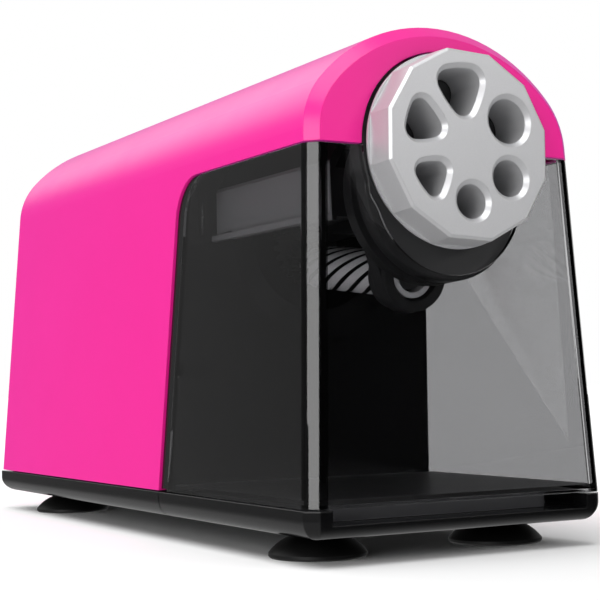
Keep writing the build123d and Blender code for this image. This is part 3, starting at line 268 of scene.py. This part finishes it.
cutter_across = Vector((1, 0, 0))
cutter_basis = Matrix((cutter_across, cutter_axis.cross(cutter_across), cutter_axis)).transposed()
cutter_place = Matrix.Translation(cutter_front) @ cutter_basis.to_4x4()
bmesh.ops.transform(cutter_build, matrix=cutter_place, verts=list(cutter_build.verts))
bmesh.ops.spin(
    cutter_build,
    geom=list(cutter_build.verts) + list(cutter_build.edges) + list(cutter_build.faces),
    cent=cutter_front,
    axis=cutter_axis,
    dvec=-cutter_axis * cutter_length / twist_steps,
    angle=twist,
    steps=twist_steps,
)
bmesh.ops.remove_doubles(cutter_build, verts=list(cutter_build.verts), dist=cutter_weld)
bmesh.ops.holes_fill(cutter_build, edges=[e for e in cutter_build.edges if e.is_boundary])
bmesh.ops.recalc_face_normals(cutter_build, faces=list(cutter_build.faces))
groove_inner, groove_outer = 2 * cutter_bore, cutter_radius - 0.5 * groove_depth
# Faces in the grooves get the black oxide finish, as painted shade between the lands.
for face in cutter_build.faces:
    reach = min((vert.co - cutter_front).cross(cutter_axis).length for vert in face.verts)
    face.material_index = 1 if groove_inner < reach < groove_outer else 0
cutter_mesh = bpy.data.meshes.new("ground_cutter")
cutter_build.to_mesh(cutter_mesh)
cutter_build.free()
ground_cutter = bpy.data.objects.new("ground_cutter", cutter_mesh)
bpy.context.scene.collection.objects.link(ground_cutter)
ground_steel = machined("ground steel", "#FCFCFD", "#F4F4F6", 0.0, 0.35, 0.7, 0.05)
# This finish is the real black oxide of the ring gear and pinion, and painted shade in the cutter's
# grooves.
black_oxide_and_groove_shade = machined("black oxide steel and painted groove shade", "#161617", "#101011", 1.0, 0.42, 0.6, 0.05)
cutter_mesh.materials.append(ground_steel)
cutter_mesh.materials.append(black_oxide_and_groove_shade)
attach(ground_cutter, "cutter")
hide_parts("helical_cutter")
finish_nodes(ground_steel, "helical_cutter")
finish_nodes(black_oxide_and_groove_shade, "ring_gear", "cutter_pinion")
zinc_plate = machined("zinc plated steel", "#FBFBFC", "#F4F4F6", 0.0, 0.4, 0.6, 0.1)
finish_nodes(zinc_plate, "axle_ring")
grey_nylon = moulded("satin charcoal nylon", "#363637", "#323233", 0.3, 0.6, 0.003, 0.3)
finish_nodes(grey_nylon, "cutter_carrier")

# Hood, collar and pencil guide. A moulded roof over the cutter, and the collar that carries the dial.
# Satin black nylon, with a charcoal collar. The outer sides of the hood are painted light grey, as a
# painted reflection of the lamps.
# The start lever and its switch sit behind the lowest hole.
finish_nodes(black_nylon, "pencil_guide", "start_lever", "start_switch")
hood_reflection_from = 0.0264
hood_nylon = moulded("black nylon with painted reflection on the hood sides", "#1B1B1C", "#171718", 0.3, 0.6, 0.003, 0.3)
hood_tree = hood_nylon.node_tree
hood_place = add_node(hood_tree, "ShaderNodeTexCoord", {}, {}).outputs["Object"]
hood_axes = add_node(hood_tree, "ShaderNodeSeparateXYZ", {}, {"Vector": hood_place}).outputs
hood_across = add_node(
    hood_tree, "ShaderNodeMath", {"operation": "ABSOLUTE"}, {0: hood_axes["X"]}
).outputs[0]
# The outer sides of the hood are painted light grey: a painted reflection of the lamps on its sides.
hood_painted_reflection = add_node(
    hood_tree, "ShaderNodeMath", {"operation": "GREATER_THAN"}, {0: hood_across, 1: hood_reflection_from}
).outputs[0]
hood_polish = hood_tree.nodes["Mix"]
hood_tone = add_node(hood_tree, "ShaderNodeMix", {"data_type": "RGBA"}, {0: hood_painted_reflection})
hood_tree.links.new(hood_polish.outputs[2], hood_tone.inputs[6])
hood_tone.inputs[7].default_value = linear("#98989A")
hood_surface = hood_tree.nodes["Principled BSDF"]
hood_tree.links.new(hood_tone.outputs[2], hood_surface.inputs["Base Color"])
finish_nodes(hood_nylon, "cutter_shroud")
finish_nodes(grey_nylon, "dial_collar")

# Arched housing. One pink ABS moulding, satin all over, set down on the base.
# The colour is through the plastic, and a fine texture softens its highlights.
pink_abs = moulded("satin pink ABS", "#F71E97", "#F41A92", 0.3, 0.5, 0.003, 0.4)
pink_surface = pink_abs.node_tree.nodes["Principled BSDF"]
pink_surface.inputs["Specular IOR Level"].default_value = 0.4
pink_surface.inputs["Sheen Weight"].default_value = 0.25
pink_surface.inputs["Sheen Roughness"].default_value = 0.4
pink_surface.inputs["Sheen Tint"].default_value = linear("#8A60FF")
finish_nodes(pink_abs, "upper_housing")

# Shavings bin. A clear moulding tinted smoke grey, with rounded corners, that slides out forwards.
# Each wall lets through about half of the light. The corner chamfers, the notch walls, the rib and the
# rear edges are tinted much darker, as painted shade.
# The walls are polished inside and out, and the top of the floor is satin.
haze_mm, bin_index, bin_edge_round = 18, 1.49, 0.0002
smoked_clear = bpy.data.materials.new("smoked clear polystyrene")
smoked_clear.use_nodes = True
smoked_tree = smoked_clear.node_tree
smoked_surface = smoked_tree.nodes["Principled BSDF"]
smoked_surface.inputs["Base Color"].default_value = linear("#C3C3C4")
smoked_surface.inputs["IOR"].default_value = bin_index
smoked_surface.inputs["Transmission Weight"].default_value = 1.0
bin_place = add_node(smoked_tree, "ShaderNodeTexCoord", {}, {}).outputs["Object"]
bin_haze = add_node(
    smoked_tree,
    "ShaderNodeTexNoise",
    {},
    {"Vector": bin_place, "Scale": 1000 / haze_mm, "Detail": 3.0},
).outputs["Fac"]
bin_gloss = add_node(
    smoked_tree, "ShaderNodeMapRange", {}, {"Value": bin_haze, "To Min": 0.0, "To Max": 0.03}
)
bin_edge = add_node(smoked_tree, "ShaderNodeBevel", {"samples": 4}, {"Radius": bin_edge_round})
smoked_tree.links.new(bin_gloss.outputs["Result"], smoked_surface.inputs["Roughness"])
smoked_tree.links.new(bin_edge.outputs["Normal"], smoked_surface.inputs["Normal"])
bin_ray = add_node(smoked_tree, "ShaderNodeLightPath", {}, {}).outputs
bin_lets_by = add_node(
    smoked_tree,
    "ShaderNodeMath",
    {"operation": "MAXIMUM"},
    {0: bin_ray["Is Shadow Ray"], 1: bin_ray["Is Diffuse Ray"]},
).outputs[0]
bin_pane = add_node(smoked_tree, "ShaderNodeBsdfTransparent", {}, {"Color": linear("#DCDCDD")})
bin_both = add_node(
    smoked_tree,
    "ShaderNodeMixShader",
    {},
    {0: bin_lets_by, 1: smoked_surface.outputs[0], 2: bin_pane.outputs[0]},
)
bin_output = smoked_tree.nodes["Material Output"]
smoked_tree.links.new(bin_both.outputs[0], bin_output.inputs["Surface"])
finish_nodes(smoked_clear, "receptacle")
bin_weld, flat_within = 1e-6, math.radians(0.5)
bin_build = bmesh.new()
bin_build.from_mesh(frame["nodes"]["receptacle"].data)
bmesh.ops.remove_doubles(bin_build, verts=list(bin_build.verts), dist=bin_weld)
bmesh.ops.dissolve_limit(
    bin_build, angle_limit=flat_within, verts=list(bin_build.verts), edges=list(bin_build.edges)
)
notch_height, notch_reach, notch_rear = 0.098, 0.034, -0.095


def in_notch(face):
    """Whether a face is a wall of the notch round the collar."""
    centre = face.calc_center_median()
    near = math.hypot(centre.x, centre.z - notch_height) < notch_reach
    return near and centre.y < notch_rear and abs(face.normal.y) < 0.5


# The notch is drawn in over the bin's running clearance, and further below the dial.
creep, more_creep, creep_top, creep_run = 0.0008, 0.0014, 0.0865, 0.004
notch_inward = {}
for face in bin_build.faces:
    if in_notch(face):
        for vert in face.verts:
            notch_inward[vert] = notch_inward.get(vert, Vector()) + face.normal
for vert, inward in notch_inward.items():
    under_dial = min(max((creep_top - vert.co.z) / creep_run, 0), 1)
    vert.co += (creep + more_creep * under_dial) * inward.normalized()
wall_lean, inner_edge, front_edge = 0.0485, 0.03895, 0.105
for side in (-1, 1):
    bmesh.ops.bisect_plane(
        bin_build,
        geom=list(bin_build.verts) + list(bin_build.edges) + list(bin_build.faces),
        dist=bin_weld,
        plane_co=(side * inner_edge, 0, 0),
        plane_no=(side, 0, wall_lean),
    )
bin_rear, long_edge, least_turn = -0.036, 0.04, math.radians(30)
for corner_round, corner_steps, least_fall, most_turn, sides in (
    (0.0013, 6, 0.06, math.radians(60), True),
    (0.0004, 3, 0.06, math.radians(60), False),
    (0.00025, 2, 0.0, math.radians(100), False),
):
    corners = []
    for edge in bin_build.edges:
        fall = abs(edge.verts[0].co.z - edge.verts[1].co.z)
        beside = max(abs(face.normal.x) for face in edge.link_faces) > 0.9
        rearmost = min(vert.co.y for vert in edge.verts) > bin_rear
        long_enough = edge.calc_length() > long_edge and fall >= least_fall
        if edge.is_convex and long_enough and (beside or not sides) and not rearmost:
            if least_turn < edge.calc_face_angle() < most_turn:
                corners.append(edge)
    bmesh.ops.bevel(
        bin_build,
        geom=corners,
        offset=corner_round,
        offset_type="OFFSET",
        affect="EDGES",
        segments=corner_steps,
        profile=0.5,
        material=-1,
        clamp_overlap=True,
    )
bmesh.ops.recalc_face_normals(bin_build, faces=list(bin_build.faces))
rib_inner, rib_front, rib_rear, rib_height, rib_half = -0.03, -0.038, -0.03, 0.046, 0.0024
wall_inner, floor_top = 0.034, 0.017
for face in bin_build.faces:
    middle = face.calc_center_median()
    lean = wall_lean * middle.z
    in_corner = abs(middle.x) + lean > inner_edge and lean - middle.y > front_edge
    beside_rib = middle.x < rib_inner and rib_front < middle.y < rib_rear
    in_rib = beside_rib and abs(middle.z - rib_height) < rib_half
    at_rear = face.normal.y > 0.5 and abs(middle.x) > wall_inner and middle.y > bin_rear
    # Corner chamfers, notch walls, the rib and the rear edges take the dark tint: painted shade for the
    # dark refraction at the corners and the shade round the collar. It also dims their glints.
    painted_dark = in_corner or in_notch(face) or in_rib or at_rear
    on_floor = face.normal.z > 0.9 and middle.z < floor_top
    face.material_index = 2 if on_floor else 1 if painted_dark else 0
bin_mesh = bpy.data.meshes.new("eased_bin")
bin_build.to_mesh(bin_mesh)
bin_build.free()
# A much darker tint for the faces picked above, as painted shade.
painted_dark_clear = smoked_clear.copy()
painted_dark_clear.name = "smoked clear polystyrene painted dark at corners and edges"
painted_dark_surface = painted_dark_clear.node_tree.nodes["Principled BSDF"]
painted_dark_surface.inputs["Base Color"].default_value = linear("#2A2A2B")
satin_clear = smoked_clear.copy()
satin_clear.name = "smoked clear polystyrene with a satin face"
satin_gloss = satin_clear.node_tree.nodes["Map Range"]
satin_gloss.inputs["To Min"].default_value = 0.26
satin_gloss.inputs["To Max"].default_value = 0.34
for bin_finish in (smoked_clear, painted_dark_clear, satin_clear):
    bin_mesh.materials.append(bin_finish)
eased_bin = bpy.data.objects.new("eased_bin", bin_mesh)
bpy.context.scene.collection.objects.link(eased_bin)
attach(eased_bin, "bin")
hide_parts("receptacle")

# Selector dial. A moulded cap with twelve flats, turned to bring the right hole to the cutter.
# It and its core are sprayed with fine silver paint, whose flake gives a soft, grainy lustre.
silver_paint = machined("silver sprayed ABS", "#DCDCDE", "#D4D4D6", 0.5, 0.38, 0.35, 0.35)
finish_nodes(silver_paint, "selector_dial", "dial_insert")

# Studio. A white paper floor that runs to a white surround.
# A broad soft light hangs overhead, with weaker ones at the left and the right.
# Mirrored rays don't see the floor, and see a dim room with a bright box and panel behind the object.
floor_half = 6.0
floor_mesh = bpy.data.meshes.new("floor")
floor_build = bmesh.new()
bmesh.ops.create_grid(floor_build, x_segments=1, y_segments=1, size=floor_half)
floor_build.to_mesh(floor_mesh)
floor_build.free()
floor = bpy.data.objects.new("floor", floor_mesh)
bpy.context.scene.collection.objects.link(floor)
floor_paper = bpy.data.materials.new("white paper")
floor_paper.use_nodes = True
paper_tree = floor_paper.node_tree
paper_surface = paper_tree.nodes["Principled BSDF"]
paper_surface.inputs["Base Color"].default_value = linear("#FFFFFF")
paper_surface.inputs["Roughness"].default_value = 0.9
paper_surface.inputs["Specular IOR Level"].default_value = 0.0
paper_ray = add_node(paper_tree, "ShaderNodeLightPath", {}, {}).outputs
paper_hidden = add_node(
    paper_tree, "ShaderNodeMath", {"operation": "GREATER_THAN"}, {0: paper_ray["Glossy Depth"], 1: 0.5}
).outputs[0]
paper_gone = add_node(paper_tree, "ShaderNodeBsdfTransparent", {}, {})
paper_both = add_node(
    paper_tree,
    "ShaderNodeMixShader",
    {},
    {0: paper_hidden, 1: paper_surface.outputs[0], 2: paper_gone.outputs[0]},
)
paper_output = paper_tree.nodes["Material Output"]
paper_tree.links.new(paper_both.outputs[0], paper_output.inputs["Surface"])
floor_mesh.materials.append(floor_paper)
floor.visible_glossy = False

world = bpy.data.worlds.new("studio surround")
bpy.context.scene.world = world
world.use_nodes = True
surround = world.node_tree
surround.nodes.clear()
ray = add_node(surround, "ShaderNodeLightPath", {}, {}).outputs
no_mirror = add_node(
    surround, "ShaderNodeMath", {"operation": "LESS_THAN"}, {0: ray["Glossy Depth"], 1: 0.5}
).outputs[0]
through = add_node(
    surround, "ShaderNodeMath", {"operation": "MULTIPLY"}, {0: ray["Is Transmission Ray"], 1: no_mirror}
).outputs[0]
seen = add_node(
    surround, "ShaderNodeMath", {"operation": "MAXIMUM"}, {0: ray["Is Camera Ray"], 1: through}
).outputs[0]
way = add_node(surround, "ShaderNodeTexCoord", {}, {}).outputs["Generated"]
height = add_node(surround, "ShaderNodeSeparateXYZ", {}, {"Vector": way}).outputs["Z"]
towards_left_rear, towards_right_rear, towards_high_rear = (
    add_node(
        surround, "ShaderNodeVectorMath", {"operation": "DOT_PRODUCT"}, {0: way, 1: direction}
    ).outputs["Value"]
    for direction in ((-0.49, 0.87, 0.0), (0.49, 0.87, 0.0), (-0.05, 0.74, 0.67))
)
sky, ground, low, flag, backdrop, box = (
    add_node(
        surround,
        "ShaderNodeMapRange",
        {"interpolation_type": "SMOOTHSTEP"},
        {"Value": measure, "From Min": start, "From Max": end, "To Min": first, "To Max": last},
    ).outputs[0]
    for measure, start, end, first, last in (
        (height, 0.1, 0.6, 0.15, 0.5),
        (height, -0.3, -0.12, 0.25, 0.0),
        (height, 0.06, 0.16, 1.0, 0.0),
        (towards_left_rear, -0.8, 0.0, 0.08, 1.0),
        (towards_right_rear, 0.8, 0.95, 0.0, 0.9),
        (towards_high_rear, 0.86, 0.98, 0.0, 1.2),
    )
)
around = add_node(surround, "ShaderNodeMath", {"operation": "ADD"}, {0: sky, 1: ground}).outputs[0]
flagged = add_node(
    surround, "ShaderNodeMath", {"operation": "MULTIPLY"}, {0: around, 1: flag}
).outputs[0]
above = add_node(
    surround, "ShaderNodeMath", {"operation": "GREATER_THAN"}, {0: height, 1: 0.0}
).outputs[0]
strip = add_node(surround, "ShaderNodeMath", {"operation": "MULTIPLY"}, {0: low, 1: above}).outputs[0]
panel = add_node(
    surround, "ShaderNodeMath", {"operation": "MULTIPLY"}, {0: backdrop, 1: strip}
).outputs[0]
upper = add_node(surround, "ShaderNodeMath", {"operation": "ADD"}, {0: flagged, 1: box}).outputs[0]
level = add_node(surround, "ShaderNodeMath", {"operation": "ADD"}, {0: upper, 1: panel}).outputs[0]
white, dome = (
    add_node(
        surround, "ShaderNodeBackground", {}, {"Color": linear("#FFFFFF"), "Strength": strength}
    ).outputs[0]
    for strength in (1.0, level)
)
mixed = add_node(surround, "ShaderNodeMixShader", {}, {0: seen, 1: dome, 2: white})
add_node(surround, "ShaderNodeOutputWorld", {}, {"Surface": mixed.outputs[0]})

for lamp_name, lamp_level, spread, tip, turn in (
    ("overhead", 1.82, 50, 20, -70),
    ("left fill", 0.83, 26, 76, -60),
    ("right fill", 0.5, 35, 58, 31),
):
    lamp_data = bpy.data.lights.new(lamp_name, "SUN")
    lamp_data.energy = lamp_level
    lamp_data.angle = math.radians(spread)
    lamp = bpy.data.objects.new(lamp_name, lamp_data)
    lamp.rotation_euler = (math.radians(tip), 0, math.radians(turn))
    bpy.context.scene.collection.objects.link(lamp)

camera_place = (-0.20606, -0.39296, 0.0421)
heading, lift, roll = math.radians(-29.468), math.radians(90 + 3.275), math.radians(-1.036)
camera_data = bpy.data.cameras.new("camera")
camera_data.sensor_width = 36.0
camera_data.lens = 87.5
camera = bpy.data.objects.new("camera", camera_data)
camera_turn = Matrix.Rotation(heading, 4, "Z")
camera_tip = Matrix.Rotation(lift, 4, "X")
camera_roll = Matrix.Rotation(roll, 4, "Z")
camera.matrix_world = Matrix.Translation(camera_place) @ camera_turn @ camera_tip @ camera_roll
bpy.context.scene.collection.objects.link(camera)
bpy.context.scene.camera = camera
bpy.context.scene.view_settings.view_transform = "Standard"
